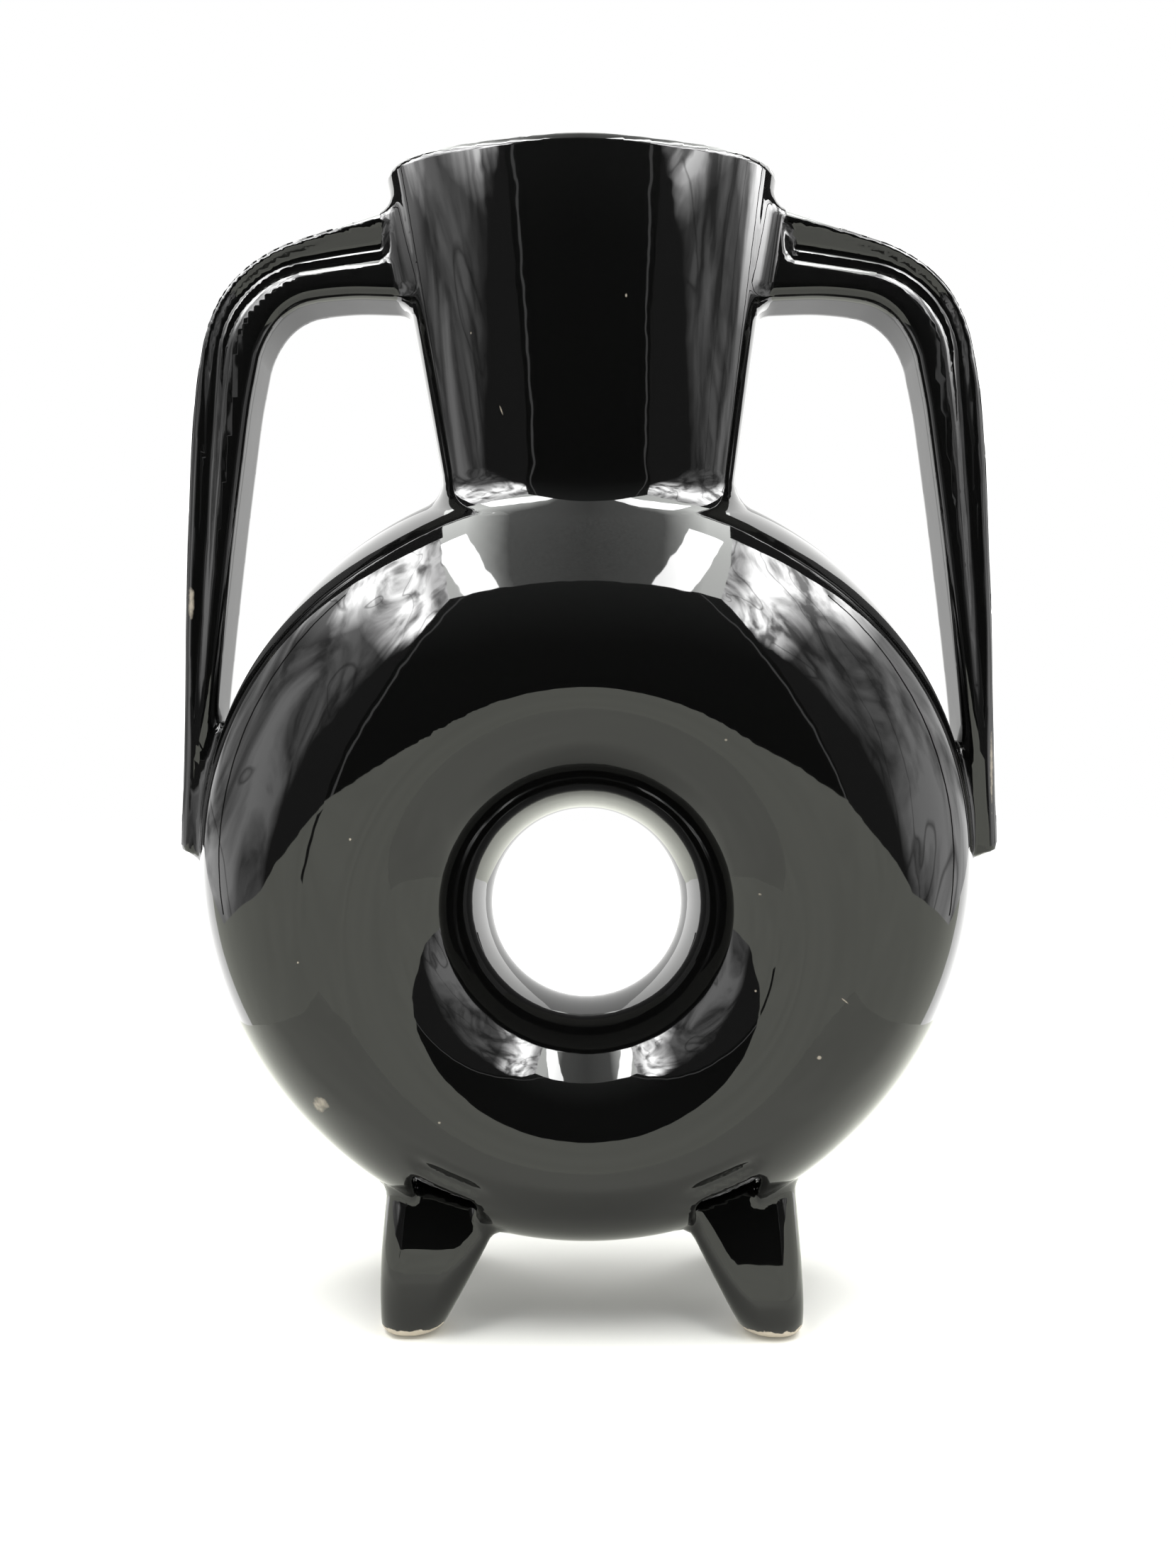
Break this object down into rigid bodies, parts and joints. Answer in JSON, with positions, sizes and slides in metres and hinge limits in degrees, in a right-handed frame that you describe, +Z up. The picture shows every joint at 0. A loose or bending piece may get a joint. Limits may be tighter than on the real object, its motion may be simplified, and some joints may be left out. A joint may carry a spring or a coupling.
{
  "type": "ceramic vase",
  "caption": "Black glazed ring-bodied flask vase with an off-centre hole, a flared oval neck, grooved shoulder handles and short wedge feet.",
  "frame": {"origin": "centre of the footprint, on the plane that the soles stand on", "axes": "+Z up through the neck, +X towards one handle, -Y towards the front"},
  "size_m": [0.219, 0.074, 0.3],
  "materials": {
    "black_glaze": "high gloss"
  },
  "bodies": {
    "root": {"vase": "black_glaze"}
  },
  "joints": []
}
